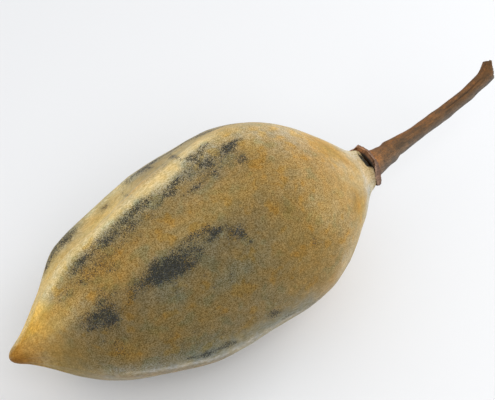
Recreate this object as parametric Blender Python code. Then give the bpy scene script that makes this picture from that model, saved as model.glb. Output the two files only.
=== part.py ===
"""Baobab fruit pod: a ribbed woody pod with its dried calyx and its stalk, lying on a small flat spot.

Metres, +Z up. The origin is the centre of the flat spot, on the ground. The pod's long axis runs along X,
with the tip at -X and the stalk at +X.
"""
import math

import bmesh
import bpy
import numpy as np
from mathutils import Matrix, Vector

MM = 0.001

# Pod, measured along its own axis from the tip, in mm
POD_LENGTH = 179.0
POD_PROFILE = [
    (0.0, 0.0),
    (2.5, 3.4),
    (9.0, 7.5),
    (19.0, 16.8),
    (33.0, 26.8),
    (52.0, 34.1),
    (76.0, 40.9),
    (100.0, 43.6),
    (122.0, 43.6),
    (141.0, 37.3),
    (156.0, 26.2),
    (166.0, 16.1),
    (172.0, 10.2),
    (176.5, 9.3),
    (179.0, 0.0),
]
POD_SEGMENTS_ROUND = 60
POD_RINGS = 44

# How far the middle of each cross-section wanders off the straight axis, and the way it wanders (Y, Z)
SWAY = [(0.0, 0.0), (20.0, -0.9), (60.0, -1.7), (110.0, 3.1), (150.0, 1.3), (179.0, 0.0)]
SWAY_WAY = (0.8, 0.6)

# Lengthwise ribs: degrees from the top towards -Y near the tip and past the middle, height,
# half width in degrees, and the distances from the tip where each rib starts, is full, begins to fade and ends
RIBS = [
    (-22.0, -18.0, 4.0, 10.0, 10.0, 38.0, 70.0, 165.0),
    (34.0, 32.0, 1.6, 14.0, 20.0, 50.0, 70.0, 165.0),
    (92.0, 105.0, 2.3, 12.0, 15.0, 50.0, 95.0, 170.0),
    (178.0, 178.0, 1.6, 22.0, 15.0, 50.0, 95.0, 170.0),
    (236.0, 232.0, 2.6, 14.0, 15.0, 50.0, 90.0, 165.0),
    (294.0, 297.0, 6.0, 14.0, 18.0, 38.0, 45.0, 124.0),
]
RIB_TURNS_FROM = 20.0
RIB_TURNS_OVER = 70.0

# How the pod lies: nose down, with its axis this high and this far aside over the flat spot
NOSE_DOWN = math.radians(3.0)
REST_FROM_TIP = 92.0
AXIS_HEIGHT = 42.6
AXIS_SIDE = -0.2

# Stalk: the middle of its base, then its route from there (along the pod, sideways, up) and its radius
STALK_BASE = Vector((179.8, 0.0, 0.1))
STALK_ROUTE = [
    ((0.0, 0.0, 0.0), 6.5),
    ((3.5, 0.3, 0.2), 5.9),
    ((8.5, 0.9, 0.3), 5.3),
    ((18.5, 1.9, 0.8), 4.35),
    ((28.0, 3.0, 0.9), 3.5),
    ((44.5, 4.7, 2.0), 3.4),
    ((55.0, 5.8, 3.2), 3.15),
    ((63.5, 6.7, 4.6), 3.2),
    ((70.5, 7.4, 6.7), 3.5),
    ((75.5, 7.9, 9.0), 4.0),
    ((81.5, 8.5, 13.2), 5.0),
]
STALK_STEPS = 28
STALK_SIDES_SETTING = 6
CUT_PLACE = Vector((77.2, 8.1, 10.0))
CUT_WAY = Vector((0.97, 0.1, -0.22))

# Dried calyx: a thin cup around the stalk's base, open towards the pod (along the stalk, out from it)
CALYX_SECTION = [
    (1.0, 6.8),
    (1.9, 6.85),
    (1.6, 8.3),
    (0.6, 9.6),
    (-0.7, 10.3),
    (-1.0, 9.8),
    (0.0, 8.95),
    (0.7, 7.9),
]
CALYX_STEPS = 56
CALYX_WAVES = [(3, 0.45, 0.4), (5, 0.25, 1.9), (8, 0.12, 0.7)]
CALYX_RIM_RADIUS = 10.3

COLLECTION_NAME = "baobab_fruit_pod"
WELD = 1e-6


def clear_scene():
    """Remove whatever the file opened with."""
    for thing in list(bpy.data.objects):
        bpy.data.objects.remove(thing, do_unlink=True)


def make_material(name, colour, roughness):
    """A plain material of one colour for one piece."""
    material = bpy.data.materials.new(name)
    material.use_nodes = True
    shader = material.node_tree.nodes["Principled BSDF"]
    shader.inputs["Base Color"].default_value = (*colour, 1.0)
    shader.inputs["Roughness"].default_value = roughness
    shader.inputs["Metallic"].default_value = 0.0
    return material


def make_object(name, mesh, material, collection, parent):
    """Put a finished mesh in the collection, under the pod's own frame."""
    thing = bpy.data.objects.new(name, mesh)
    mesh.materials.append(material)
    mesh.shade_smooth()
    mesh.set_sharp_from_angle(angle=math.radians(40.0))
    collection.objects.link(thing)
    thing.parent = parent
    return thing


class SmoothCurve:
    """The smoothest curve through (place, value) stations: a cubic between each two, with no kink."""

    def __init__(self, stations):
        self.places = np.array([place for place, value in stations])
        self.values = np.array([value for place, value in stations])
        self.steps = np.diff(self.places)
        rises = np.diff(self.values) / self.steps
        count = len(stations)
        system = np.eye(count)
        bend = np.zeros(count)
        for knot in range(1, count - 1):
            before, after = self.steps[knot - 1], self.steps[knot]
            system[knot, knot - 1 : knot + 2] = (before, 2.0 * (before + after), after)
            bend[knot] = 6.0 * (rises[knot] - rises[knot - 1])
        self.bends = np.linalg.solve(system, bend)

    def at(self, place):
        """The curve's value at one place."""
        span = int(np.clip(np.searchsorted(self.places, place, side="right") - 1, 0, len(self.steps) - 1))
        step = self.steps[span]
        right = (place - self.places[span]) / step
        left = 1.0 - right
        value = left * self.values[span] + right * self.values[span + 1]
        value += (left**3 - left) * self.bends[span] * step**2 / 6.0
        value += (right**3 - right) * self.bends[span + 1] * step**2 / 6.0
        return float(value)


def ease(part):
    """0 before 0, 1 after 1, and a soft rise between."""
    part = min(max(part, 0.0), 1.0)
    return part * part * (3.0 - 2.0 * part)


def polar(along):
    """The angle at the pod's middle that stands for a distance from the tip, so both ends come out round."""
    return math.acos(1.0 - 2.0 * along / POD_LENGTH)


RADIUS_BY_ANGLE = SmoothCurve([(polar(along), radius) for along, radius in POD_PROFILE])
SWAY_BY_ANGLE = SmoothCurve([(polar(along), sway) for along, sway in SWAY])


def rib_height(turn, along):
    """How far the ribs lift the skin at a turn round the pod and a distance from the tip."""
    lift = 0.0
    late = ease((along - RIB_TURNS_FROM) / RIB_TURNS_OVER)
    for near_tip, past_middle, height, half_width, start, full, fade, end in RIBS:
        aside = (turn - near_tip - late * (past_middle - near_tip) + 180.0) % 360.0 - 180.0
        strength = ease((along - start) / (full - start)) * ease((end - along) / (end - fade))
        lift += height * strength * math.exp(-((aside / half_width) ** 2))
    return lift


def pod_point(direction):
    """The point of the skin, in mm, that a direction from the pod's middle stands for."""
    along = POD_LENGTH * (1.0 + direction.x) / 2.0
    angle = math.acos(min(max(-direction.x, -1.0), 1.0))
    turn = math.atan2(-direction.y, direction.z)
    radius = RADIUS_BY_ANGLE.at(angle) + rib_height(math.degrees(turn), along)
    sway = SWAY_BY_ANGLE.at(angle)
    side = SWAY_WAY[0] * sway - radius * math.sin(turn)
    up = SWAY_WAY[1] * sway + radius * math.cos(turn)
    return Vector((along, side, up))


def make_pod(frame_matrix, collection, parent):
    """The pod: a ball drawn out to the ribbed skin, with the flat spot cut off level with the ground."""
    ball = bmesh.new()
    lay_down = Matrix.Rotation(math.radians(90.0), 4, "Y")
    bmesh.ops.create_uvsphere(
        ball, u_segments=POD_SEGMENTS_ROUND, v_segments=POD_RINGS, radius=1.0, matrix=lay_down
    )
    for vertex in ball.verts:
        vertex.co = pod_point(vertex.co.normalized()) * MM
    to_pod = frame_matrix.inverted()
    ground = to_pod @ Vector((0.0, 0.0, 0.0))
    down = to_pod.to_3x3() @ Vector((0.0, 0.0, -1.0))
    everything = list(ball.verts) + list(ball.edges) + list(ball.faces)
    cut = bmesh.ops.bisect_plane(
        ball, geom=everything, dist=WELD, plane_co=ground, plane_no=down, clear_outer=True
    )
    rim = [item for item in cut["geom_cut"] if isinstance(item, bmesh.types.BMEdge)]
    bmesh.ops.contextual_create(ball, geom=rim)
    bmesh.ops.recalc_face_normals(ball, faces=ball.faces)
    mesh = bpy.data.meshes.new("pod")
    ball.to_mesh(mesh)
    ball.free()
    material = make_material("pod_rind", (0.38, 0.24, 0.07), 0.95)
    return make_object("pod", mesh, material, collection, parent)


def stalk_way():
    """The direction in which the stalk leaves the pod."""
    return (Vector(STALK_ROUTE[2][0]) - Vector(STALK_ROUTE[0][0])).normalized()


def make_stalk_curve():
    """The stalk's route as a round bar of changing thickness."""
    curve = bpy.data.curves.new("stalk_route", "CURVE")
    curve.dimensions = "3D"
    curve.bevel_depth = MM
    curve.bevel_resolution = STALK_SIDES_SETTING
    curve.use_fill_caps = True
    spline = curve.splines.new("POLY")
    spline.points.add(STALK_STEPS)
    reaches = [point[0] for point, radius in STALK_ROUTE]
    side = SmoothCurve([(point[0], point[1]) for point, radius in STALK_ROUTE])
    height = SmoothCurve([(point[0], point[2]) for point, radius in STALK_ROUTE])
    thickness = SmoothCurve([(point[0], radius) for point, radius in STALK_ROUTE])
    for index, knot in enumerate(spline.points):
        reach = reaches[-1] * index / STALK_STEPS
        offset = Vector((reach, side.at(reach), height.at(reach)))
        knot.co = (*((STALK_BASE + offset) * MM), 1.0)
        knot.radius = thickness.at(reach)
    return bpy.data.objects.new("stalk_route", curve)


def make_stalk(collection, parent):
    """The stalk: the round bar made solid, with its broken end cut across at a slant."""
    bar = make_stalk_curve()
    collection.objects.link(bar)
    evaluated = bar.evaluated_get(bpy.context.evaluated_depsgraph_get())
    mesh = bpy.data.meshes.new_from_object(evaluated)
    mesh.name = "stalk"
    bpy.data.objects.remove(bar, do_unlink=True)
    solid = bmesh.new()
    solid.from_mesh(mesh)
    bmesh.ops.remove_doubles(solid, verts=solid.verts, dist=WELD)
    everything = list(solid.verts) + list(solid.edges) + list(solid.faces)
    cut = bmesh.ops.bisect_plane(
        solid,
        geom=everything,
        dist=WELD,
        plane_co=(STALK_BASE + CUT_PLACE) * MM,
        plane_no=CUT_WAY.normalized(),
        clear_outer=True,
    )
    rim = [item for item in cut["geom_cut"] if isinstance(item, bmesh.types.BMEdge)]
    bmesh.ops.contextual_create(solid, geom=rim)
    bmesh.ops.recalc_face_normals(solid, faces=solid.faces)
    mesh.materials.clear()
    solid.to_mesh(mesh)
    solid.free()
    material = make_material("stalk_wood", (0.16, 0.08, 0.04), 0.75)
    return make_object("stalk", mesh, material, collection, parent)


def make_calyx(collection, parent):
    """The dried calyx: a thin section spun round the stalk's base, with a wavy free edge."""
    ring = bmesh.new()
    corners = [ring.verts.new((out * MM, 0.0, along * MM)) for along, out in CALYX_SECTION]
    sides = [ring.edges.new(pair) for pair in zip(corners, corners[1:] + corners[:1])]
    bmesh.ops.spin(
        ring,
        geom=corners + sides,
        cent=(0.0, 0.0, 0.0),
        axis=(0.0, 0.0, 1.0),
        angle=2.0 * math.pi,
        steps=CALYX_STEPS,
        use_merge=True,
    )
    inner = CALYX_SECTION[0][1]
    for vertex in ring.verts:
        out = math.hypot(vertex.co.x, vertex.co.y) / MM
        turn = math.atan2(vertex.co.y, vertex.co.x)
        free = ease((out - inner) / (CALYX_RIM_RADIUS - inner))
        wave = sum(size * math.sin(count * turn + start) for count, size, start in CALYX_WAVES)
        vertex.co.z += wave * free * MM
        stretch = 1.0 + 0.35 * wave * free / CALYX_RIM_RADIUS
        vertex.co.x *= stretch
        vertex.co.y *= stretch
    bmesh.ops.recalc_face_normals(ring, faces=ring.faces)
    mesh = bpy.data.meshes.new("calyx_collar")
    ring.to_mesh(mesh)
    ring.free()
    material = make_material("calyx_dry", (0.14, 0.06, 0.035), 0.7)
    collar = make_object("calyx_collar", mesh, material, collection, parent)
    collar.location = STALK_BASE * MM
    collar.rotation_euler = stalk_way().to_track_quat("Z", "Y").to_euler()
    return collar


def main():
    clear_scene()
    collection = bpy.data.collections.new(COLLECTION_NAME)
    bpy.context.scene.collection.children.link(collection)
    tilt = Matrix.Rotation(-NOSE_DOWN, 4, "Y")
    over_rest = tilt @ Vector((REST_FROM_TIP, 0.0, 0.0))
    place = (Vector((0.0, AXIS_SIDE, AXIS_HEIGHT)) - over_rest) * MM
    lying = bpy.data.objects.new("pod_frame", None)
    lying.location = place
    lying.rotation_euler = (0.0, -NOSE_DOWN, 0.0)
    collection.objects.link(lying)
    frame_matrix = Matrix.Translation(place) @ tilt
    make_pod(frame_matrix, collection, lying)
    make_calyx(collection, lying)
    make_stalk(collection, lying)


main()
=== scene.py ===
# %% [markdown]
# # A baobab fruit pod, built and finished in Blender
#
# The pod is the woody fruit of a baobab: an egg-shaped shell with low ribs, a velvety skin of short hairs,
# and a dried calyx and a bent stalk at its thick end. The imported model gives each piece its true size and
# place. This lesson makes the pieces that show: their fine shape, their colours and their surface.
#
# Everything is in metres in the model's frame: +Z is up, +X runs from the tip towards the stalk, and the
# origin is the small flat spot that the pod lies on.

# %% Load the frame
import math

import bmesh
import bpy
import numpy as np
from mathutils import Matrix, Vector, noise


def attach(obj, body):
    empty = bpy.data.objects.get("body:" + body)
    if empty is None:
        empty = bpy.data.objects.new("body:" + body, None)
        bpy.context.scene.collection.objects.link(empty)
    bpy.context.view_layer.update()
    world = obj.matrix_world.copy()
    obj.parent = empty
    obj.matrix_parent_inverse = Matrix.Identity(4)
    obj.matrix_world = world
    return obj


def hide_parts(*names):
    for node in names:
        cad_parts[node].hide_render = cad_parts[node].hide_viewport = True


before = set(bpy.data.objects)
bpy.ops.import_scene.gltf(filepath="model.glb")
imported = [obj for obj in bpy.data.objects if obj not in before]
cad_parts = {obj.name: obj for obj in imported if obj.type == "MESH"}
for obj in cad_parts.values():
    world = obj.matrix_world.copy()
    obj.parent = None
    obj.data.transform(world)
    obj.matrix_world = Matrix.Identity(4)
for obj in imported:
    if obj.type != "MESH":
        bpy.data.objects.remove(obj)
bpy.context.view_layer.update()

MM = 0.001
FLOOR_GAP = 0.2 * MM

# %% [markdown]
# ## The camera
#
# The camera stands on the side of the tip and looks down at 48 degrees, turned 33 degrees from the pod's
# side view. Its place is worked out from the point that it looks at, the two angles and the distance, so
# each number means something on its own. A vector and to_track_quat turn it without any trial and error.

# %% Place the camera
VIEW_TARGET = Vector((31.7, 16.2, 42.5)) * MM
VIEW_HEADING = math.radians(32.96)
VIEW_DOWN = math.radians(48.0)
VIEW_DISTANCE = 418.4 * MM
VIEW_WIDTH = math.radians(30.0)

view_way = Vector(
    (
        math.sin(VIEW_HEADING) * math.cos(VIEW_DOWN),
        math.cos(VIEW_HEADING) * math.cos(VIEW_DOWN),
        -math.sin(VIEW_DOWN),
    )
)
lens = bpy.data.cameras.new("main_camera")
lens.sensor_fit = "HORIZONTAL"
lens.angle = VIEW_WIDTH
lens.clip_start = 0.01
camera = bpy.data.objects.new("main_camera", lens)
camera.location = VIEW_TARGET - view_way * VIEW_DISTANCE
camera.rotation_euler = view_way.to_track_quat("-Z", "Y").to_euler()
bpy.context.scene.collection.objects.link(camera)
bpy.context.scene.camera = camera
print("camera at", [round(value, 3) for value in camera.location])

# %% [markdown]
# ## Where the pod lies
#
# The pod is drawn along its own axis, from the tip at 0 to the calyx at 179 mm, because every rib and mark on
# it is easier to place by its distance from the tip and its turn round the pod. One matrix then lays the
# finished points down: the nose dips by 3 degrees, as the pod comes to rest on its fullest part.

# %% The pod's own frame
POD_LENGTH = 179.0
NOSE_DOWN = math.radians(3.0)
REST_FROM_TIP = 92.0
AXIS_HEIGHT = 42.6
AXIS_SIDE = -0.2

tilt = Matrix.Rotation(-NOSE_DOWN, 4, "Y")
rest_offset = Vector((0.0, AXIS_SIDE, AXIS_HEIGHT)) - tilt @ Vector((REST_FROM_TIP, 0.0, 0.0))
lay_down = Matrix.Translation(rest_offset * MM) @ tilt @ Matrix.Scale(MM, 4)


def place_points(points):
    """Points in the pod's own millimetres, as an array, laid down in the model's frame in metres."""
    matrix = np.array(lay_down)
    return points @ matrix[:3, :3].T + matrix[:3, 3]


# %% [markdown]
# ## A smooth curve through a few stations
#
# The pod's outline, its sway and the stalk's thickness are each known at a few places. A cubic curve with no
# kink through those stations is the shape that a grown thing has between them. The same small class serves
# all of them, and it works on whole arrays. So do the three short functions after it, which fade a thing in
# and out and give a bump its round shape.

# %% The curve, and soft steps
class SmoothCurve:
    """The smoothest curve through (place, value) stations."""

    def __init__(self, stations):
        self.places = np.array([place for place, value in stations])
        self.values = np.array([value for place, value in stations])
        self.steps = np.diff(self.places)
        rises = np.diff(self.values) / self.steps
        count = len(stations)
        system = np.eye(count)
        bend = np.zeros(count)
        for knot in range(1, count - 1):
            before, after = self.steps[knot - 1], self.steps[knot]
            system[knot, knot - 1 : knot + 2] = (before, 2.0 * (before + after), after)
            bend[knot] = 6.0 * (rises[knot] - rises[knot - 1])
        self.bends = np.linalg.solve(system, bend)

    def at(self, place):
        """The curve's value at each place of an array."""
        span = np.clip(np.searchsorted(self.places, place, side="right") - 1, 0, len(self.steps) - 1)
        step = self.steps[span]
        right = (place - self.places[span]) / step
        left = 1.0 - right
        value = left * self.values[span] + right * self.values[span + 1]
        value = value + (left**3 - left) * self.bends[span] * step**2 / 6.0
        return value + (right**3 - right) * self.bends[span + 1] * step**2 / 6.0


def ease(part):
    """0 before 0, 1 after 1, and a soft rise between."""
    part = np.clip(part, 0.0, 1.0)
    return part * part * (3.0 - 2.0 * part)


def fade(value, none, full):
    """0 at the value none, 1 at the value full, and a soft way between, up or down."""
    return ease((value - none) / (full - none))


def swell(value, start, full, fading, end):
    """A soft rise from start to full, and a soft fall from fading to end."""
    return fade(value, start, full) * fade(value, end, fading)


def bell(away):
    """1 in the middle, and about a third at one half width away."""
    return np.exp(-(away**2))


# %% [markdown]
# ## The pod's shape
#
# A baobab pod isn't a turned shape: its middle wanders a little off the straight axis, and low ribs run along
# it, highest near the tip. It could be sculpted by hand, but then its ribs and its marks would have no shared
# coordinates. Here a formula gives the skin's radius at any distance from the tip and any turn round the pod.

# %% Outline, sway and ribs
POD_PROFILE = [
    (0.0, 0.0), (2.5, 3.4), (9.0, 7.5), (19.0, 16.8), (33.0, 26.8), (52.0, 34.1), (76.0, 40.9),
    (100.0, 43.6), (122.0, 43.6), (141.0, 37.3), (156.0, 26.6), (165.0, 18.5), (170.0, 13.1), (174.0, 10.3),
    (177.2, 8.9), (179.0, 0.0),
]
SWAY = [(0.0, 0.0), (20.0, -0.9), (60.0, -1.7), (110.0, 3.1), (150.0, 1.3), (179.0, 0.0)]
SWAY_WAY = (0.8, 0.6)

# Degrees from the top towards -Y near the tip and past the middle, height and half width,
# then the distances from the tip where the rib starts, is full, begins to fade and ends
RIBS = [
    (-22.0, -18.0, 4.0, 10.0, 10.0, 38.0, 70.0, 165.0),
    (34.0, 32.0, 1.6, 14.0, 20.0, 50.0, 70.0, 165.0),
    (92.0, 105.0, 2.3, 12.0, 15.0, 50.0, 95.0, 170.0),
    (178.0, 178.0, 1.6, 22.0, 15.0, 50.0, 95.0, 170.0),
    (236.0, 232.0, 2.6, 14.0, 15.0, 50.0, 90.0, 165.0),
    (294.0, 297.0, 6.0, 14.0, 18.0, 38.0, 45.0, 124.0),
]
RIB_TURNS_FROM = 20.0
RIB_TURNS_OVER = 70.0


def polar(along):
    """The angle at the pod's middle that stands for a distance from the tip, so both ends come out round."""
    return np.arccos(np.clip(1.0 - 2.0 * along / POD_LENGTH, -1.0, 1.0))


radius_curve = SmoothCurve([(float(polar(along)), radius) for along, radius in POD_PROFILE])
sway_curve = SmoothCurve([(float(polar(along)), sway) for along, sway in SWAY])


def around(turn, middle):
    """How many degrees a turn is past a middle, from -180 to 180."""
    return (turn - middle + 180.0) % 360.0 - 180.0


def rib_middle(rib, along):
    """The turn of a rib's crest at a distance from the tip."""
    late = ease((along - RIB_TURNS_FROM) / RIB_TURNS_OVER)
    return rib[0] + late * (rib[1] - rib[0])


def rib_height(along, turn):
    """How far the ribs lift the skin."""
    lift = np.zeros_like(along)
    for rib in RIBS:
        aside = around(turn, rib_middle(rib, along))
        lift += rib[2] * swell(along, *rib[4:]) * bell(aside / rib[3])
    return lift


def skin_radius(along, turn):
    """The skin's distance from the middle of the cross-section."""
    return radius_curve.at(polar(along)) + rib_height(along, turn)


def skin_point(along, turn, radius):
    """A point at a radius, in the pod's own millimetres."""
    sway = sway_curve.at(polar(along))
    angle = np.radians(turn)
    side = SWAY_WAY[0] * sway - radius * np.sin(angle)
    up = SWAY_WAY[1] * sway + radius * np.cos(angle)
    return np.stack([along, side, up], axis=-1)


middle_radius = float(skin_radius(np.array([100.0]), np.array([0.0]))[0])
print("radius on top, 100 mm from the tip:", round(middle_radius, 1), "mm")

# %% [markdown]
# ## Small shapes of the skin
#
# Close up, the shell has shallow dents, a creased tip, lengthwise folds in its pale neck and a few dimples on
# its shoulder. They are wide enough to be real geometry, so they move the mesh itself, and only the hair is
# left to the material. Blender's own noise gives dents that never repeat and come out the same each time.

# %% Dents, creases and dimples
# Size and height in mm of the dents, from broad to fine
DENTS = [(24.0, 0.55), (9.0, 0.22), (3.6, 0.07)]

# Lengthwise folds: how many, how high, and the distances from the tip where they start, are full and end
TIP_CREASES = (13, 0.22, 3.0, 9.0, 26.0)
NECK_FOLDS = (17, 0.16, 158.0, 168.0, 176.0)

# How strongly the folds wander, and in lumps of how many mm
FOLD_WANDER = 2.6
FOLD_LUMPS = 14.0

# The small shapes grow out to this radius of the pod, so that its very tip stays whole
FULL_RELIEF_RADIUS = 7.0

# Distance from the tip, turn, depth and half width of each dimple, in mm and degrees; a negative depth swells
DIMPLES = [
    (143.0, 22.0, 0.5, 2.6), (146.5, 38.0, 0.45, 2.2), (137.0, 60.0, 0.35, 3.2), (128.0, 5.0, 0.35, 3.6),
    (120.0, 140.0, 0.5, 3.4), (98.0, 205.0, 0.45, 3.0), (134.0, 262.0, 0.5, 2.8),
    (170.5, 124.0, -1.05, 6.5), (163.0, 124.0, -0.75, 7.0),
]

# The hollow beside the calyx: distance from the tip, turn, half length and half width, then its depth and
# the neck's radius there, in mm
HOLLOW = (177.6, 8.0, 4.3, 7.0)
HOLLOW_DEPTH = 2.8
HOLLOW_NECK = 9.4

# How far its rim wavers and how wide its flat floor is, as shares of its size, and the waver's lumps in mm
HOLLOW_WAVER = 0.12
HOLLOW_FLOOR = 0.6
HOLLOW_LUMPS = 2.0


def smooth_noise(points, size):
    """Noise from about -1 to 1 at each point, with lumps of about this size."""
    return np.array([noise.noise(Vector(point) / size) for point in points])


def folds(along, turn, wander, settings):
    """Lengthwise folds that start, are full and end at three distances from the tip."""
    count, height, start, full, end = settings
    share = swell(along, start, full, full, end)
    angle = np.radians(turn)
    wave = np.sin(angle * count + FOLD_WANDER * wander) + 0.5 * np.sin(angle * (2 * count + 3))
    return height * share * wave


def hollow_share(along, turn, points):
    """0 outside the hollow beside the calyx, and 1 on its floor."""
    place, middle, half_length, half_width = HOLLOW
    reach = np.radians(around(turn, middle)) * HOLLOW_NECK
    away = np.hypot((along - place) / half_length, reach / half_width)
    return fade(away + HOLLOW_WAVER * smooth_noise(points, HOLLOW_LUMPS), 1.0, HOLLOW_FLOOR)


def skin_relief(along, turn, points):
    """How far the small shapes lift or sink the skin."""
    relief = np.zeros_like(along)
    for size, height in DENTS:
        relief += height * smooth_noise(points, size)
    wander = smooth_noise(points, FOLD_LUMPS)
    relief += folds(along, turn, wander, TIP_CREASES) + folds(along, turn, wander, NECK_FOLDS)
    for place, middle, depth, half_width in DIMPLES:
        reach = np.radians(around(turn, middle)) * skin_radius(along, turn)
        relief -= depth * bell(np.hypot(along - place, reach) / half_width)
    relief -= HOLLOW_DEPTH * hollow_share(along, turn, points)
    return relief * ease(skin_radius(along, turn) / FULL_RELIEF_RADIUS)


# %% [markdown]
# ## The mesh of the skin
#
# The skin starts as a UV sphere laid along X, because its rings then stand across the pod and its segments
# run along it, as the ribs do. Each vertex only gives a direction, and the formula puts it where it belongs.
# What would sink below the ground is lifted onto it, and that makes the flat spot the pod rests on.

# %% Draw the sphere out to the skin
SKIN_SEGMENTS = 320
SKIN_RINGS = 304


def mesh_from(sheet, name):
    """Turn a finished bmesh into a mesh and let go of the bmesh."""
    mesh = bpy.data.meshes.new(name)
    sheet.to_mesh(mesh)
    sheet.free()
    return mesh


def read_vectors(mesh, name="position"):
    """A vector attribute of the mesh as an array: its vertices, or another by name."""
    flat = np.empty(len(mesh.vertices) * 3, dtype=np.float32)
    mesh.attributes[name].data.foreach_get("vector", flat)
    return flat.reshape(-1, 3).astype(float)


def write_points(mesh, points):
    """Move the mesh's vertices to the points of an array."""
    mesh.vertices.foreach_set("co", points.astype(np.float32).ravel())
    mesh.update()


ball = bmesh.new()
on_its_side = Matrix.Rotation(math.radians(90.0), 4, "Y")
bmesh.ops.create_uvsphere(
    ball, u_segments=SKIN_SEGMENTS, v_segments=SKIN_RINGS, radius=1.0, matrix=on_its_side
)
bmesh.ops.recalc_face_normals(ball, faces=ball.faces)
skin_mesh = mesh_from(ball, "pod_skin")
directions = read_vectors(skin_mesh)
directions /= np.linalg.norm(directions, axis=1, keepdims=True)
skin_along = POD_LENGTH * (1.0 + directions[:, 0]) / 2.0
skin_turn = np.degrees(np.arctan2(-directions[:, 1], directions[:, 2]))
skin_out = skin_radius(skin_along, skin_turn)
plain_points = skin_point(skin_along, skin_turn, skin_out)
skin_out = skin_out + skin_relief(skin_along, skin_turn, plain_points)
skin_places = place_points(skin_point(skin_along, skin_turn, skin_out))
skin_places[:, 2] = np.maximum(skin_places[:, 2], 0.0)
write_points(skin_mesh, skin_places)
print("skin:", len(skin_mesh.vertices), "vertices,", len(skin_mesh.polygons), "faces")

# %% [markdown]
# ## A map for the skin
#
# A UV map unrolls the skin, with the turn across it and the distance from the tip up it. The seam runs
# along the underside, where nobody looks. The sphere's poles need care: the corner of each thin triangle
# there takes the middle of its neighbours' turns, or the map would twist.

# %% Unroll the skin
MAP_NAME = "OFBake"


def corner_array(mesh):
    """The vertex behind each face corner, and the face behind each corner."""
    vertex_of = np.empty(len(mesh.loops), dtype=np.int32)
    mesh.loops.foreach_get("vertex_index", vertex_of)
    sizes = np.empty(len(mesh.polygons), dtype=np.int32)
    mesh.polygons.foreach_get("loop_total", sizes)
    return vertex_of, np.repeat(np.arange(len(sizes)), sizes)


def shares_at_corners(mesh, share, at_pole):
    """Each corner's share of a full round; faces over the seam run on past 1, poles take the mean."""
    vertex_of, face_of = corner_array(mesh)
    corner = share[vertex_of].copy()
    pole = at_pole[vertex_of]
    faces = len(mesh.polygons)
    highest = np.full(faces, -1.0)
    lowest = np.full(faces, 2.0)
    np.maximum.at(highest, face_of[~pole], corner[~pole])
    np.minimum.at(lowest, face_of[~pole], corner[~pole])
    over_seam = (highest - lowest)[face_of] > 0.5
    corner[over_seam & (corner < 0.5)] += 1.0
    total = np.bincount(face_of[~pole], weights=corner[~pole], minlength=faces)
    count = np.bincount(face_of[~pole], minlength=faces)
    corner[pole] = (total / np.maximum(count, 1))[face_of[pole]]
    return corner


def unroll(mesh, turn_share, up_share, at_pole=None):
    """A UV map from each vertex's share of the turn and of the way up; a ring without poles is cut twice."""
    if at_pole is None:
        no_pole = np.zeros(len(mesh.vertices), dtype=bool)
        across = shares_at_corners(mesh, turn_share, no_pole)
        up = shares_at_corners(mesh, up_share, no_pole)
    else:
        across = shares_at_corners(mesh, turn_share, at_pole)
        up = up_share[corner_array(mesh)[0]]
    layer = mesh.uv_layers.new(name=MAP_NAME)
    pairs = np.stack([across / max(across.max(), 1.0), up / max(up.max(), 1.0)], axis=1)
    layer.uv.foreach_set("vector", pairs.astype(np.float32).ravel())


at_pole = np.abs(directions[:, 0]) > 1.0 - 1e-9
arc_steps = np.linspace(0.0, POD_LENGTH, 400)
arc_radii = radius_curve.at(polar(arc_steps))
arc_length = np.concatenate([[0.0], np.cumsum(np.hypot(np.diff(arc_steps), np.diff(arc_radii)))])
up_share = np.interp(skin_along, arc_steps, arc_length / arc_length[-1])
turn_share = ((skin_turn + 180.0) / 360.0) % 1.0
unroll(skin_mesh, turn_share, up_share, at_pole)
print("length of the skin from the tip to the calyx:", round(float(arc_length[-1])), "mm")

# %% [markdown]
# ## The skin's colours, laid on in dabs
#
# The skin runs from a yellow tip through olive flanks to a tan shoulder and a cream neck, with a pale rubbed
# crest and a greyed underside. A ground colour goes on first, and soft oval dabs go over it, mostly the
# broad ones before the small ones, as an airbrush would lay them. Each dab has a named colour, a place and a
# size in millimetres. Most of the dabs here weren't set by eye: a separate program fitted them to the colours
# of the photo, and the others were added after looking at renders. The back mirrors the side that shows, a
# little shifted.

# %% Colours of the skin
GROUND = (0.135, 0.105, 0.050)
SKIN_COLOURS = {
    "olive": (0.136, 0.104, 0.052), "teal": (0.102, 0.124, 0.093),
    "umber": (0.180, 0.110, 0.024), "gold": (0.270, 0.171, 0.052),
    "tan": (0.374, 0.243, 0.059), "straw": (0.619, 0.433, 0.183),
    "ivory": (0.890, 0.740, 0.385), "orange": (0.510, 0.250, 0.020),
    "yellow": (0.825, 0.483, 0.041), "cream": (0.498, 0.411, 0.275),
    "ash": (0.318, 0.310, 0.258), "brown": (0.148, 0.114, 0.032),
    "rust": (0.200, 0.086, 0.013), "butter": (0.700, 0.545, 0.270),
    "bone": (0.330, 0.300, 0.245), "clay": (0.205, 0.165, 0.115),
    "milk": (0.500, 0.470, 0.390),
}

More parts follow.
